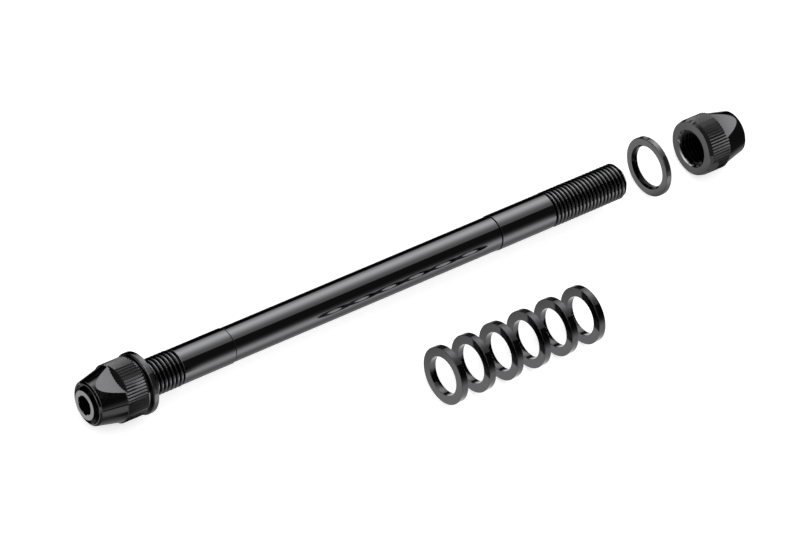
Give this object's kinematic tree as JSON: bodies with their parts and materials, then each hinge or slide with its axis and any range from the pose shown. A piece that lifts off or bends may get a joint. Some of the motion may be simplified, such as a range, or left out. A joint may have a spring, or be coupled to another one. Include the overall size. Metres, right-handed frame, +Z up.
{
  "type": "bicycle thru axle",
  "caption": "Black wheel thru axle with threaded ends, knurled cone nuts, countersunk washers and loose spacer rings, laid out in line with one end drawn off.",
  "frame": {"origin": "on the axle's axis, in the plane of the left washer's hub face", "axes": "+X along the axle towards its long thread, +Z up from the surface that the washers and spacers stand on, and the row of spacers lies at -Y"},
  "size_m": [0.2612, 0.0587, 0.0202],
  "materials": {
    "axle": "turned, polished and black anodised",
    "nut": "turned and black anodised, smooth cone, straight knurl",
    "washer": "turned and black anodised",
    "spacer": "turned and black anodised"
  },
  "bodies": {
    "axle": {"axle": "axle", "spacer_1": "spacer", "spacer_2": "spacer", "spacer_3": "spacer", "spacer_4": "spacer", "spacer_5": "spacer", "spacer_6": "spacer"},
    "left_washer": {"left_washer": "washer"},
    "left_nut": {"left_nut": "nut"},
    "right_washer": {"right_washer": "washer"},
    "right_nut": {"right_nut": "nut"}
  },
  "joints": [
    {"name": "left_washer_slide", "type": "slide", "parent": "axle", "child": "left_washer", "axis": [1, 0, 0], "range_m": [-0.0045, 0.009]},
    {"name": "left_nut_turn", "type": "hinge", "parent": "left_washer", "child": "left_nut", "pos_m": [0, 0, 0], "axis": [1, 0, 0], "range_deg": [-1080, 2160]},
    {"name": "right_washer_slide", "type": "slide", "parent": "axle", "child": "right_washer", "axis": [1, 0, 0], "range_m": [-0.03225, 0.15]},
    {"name": "right_nut_slide", "type": "slide", "parent": "right_washer", "child": "right_nut", "axis": [1, 0, 0], "range_m": [-0.017, 0]}
  ],
  "couplings": [
    {"joint": "left_washer_slide", "follows": "left_nut_turn", "m_per_rad": 0.00023873}
  ]
}
